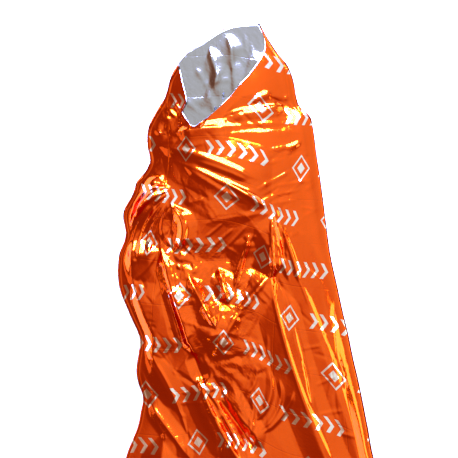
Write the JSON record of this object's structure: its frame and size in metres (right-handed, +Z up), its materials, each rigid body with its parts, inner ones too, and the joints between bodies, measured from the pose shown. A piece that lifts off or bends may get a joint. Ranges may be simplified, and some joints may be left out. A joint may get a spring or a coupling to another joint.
{
  "type": "emergency sleeping bag",
  "caption": "Empty emergency sleeping bag of metallised plastic film, welded along both sides and the foot, lying on its back with a low V mouth and crumpled folds.",
  "frame": {"origin": "on the surface that the bag lies on, under the middle of the bag's length and width", "axes": "+Z up from the surface, +Y along the bag from the foot to the hood, +X across it"},
  "size_m": [0.8916, 2.05, 0.0869],
  "materials": {
    "front_film": "metallised plastic film, glossy orange outside and bare silver inside, finely creased",
    "back_film": "metallised plastic film, glossy orange outside and bare silver inside, finely creased"
  },
  "bodies": {
    "root": {"front_film": "front_film", "back_film": "back_film"}
  },
  "joints": []
}
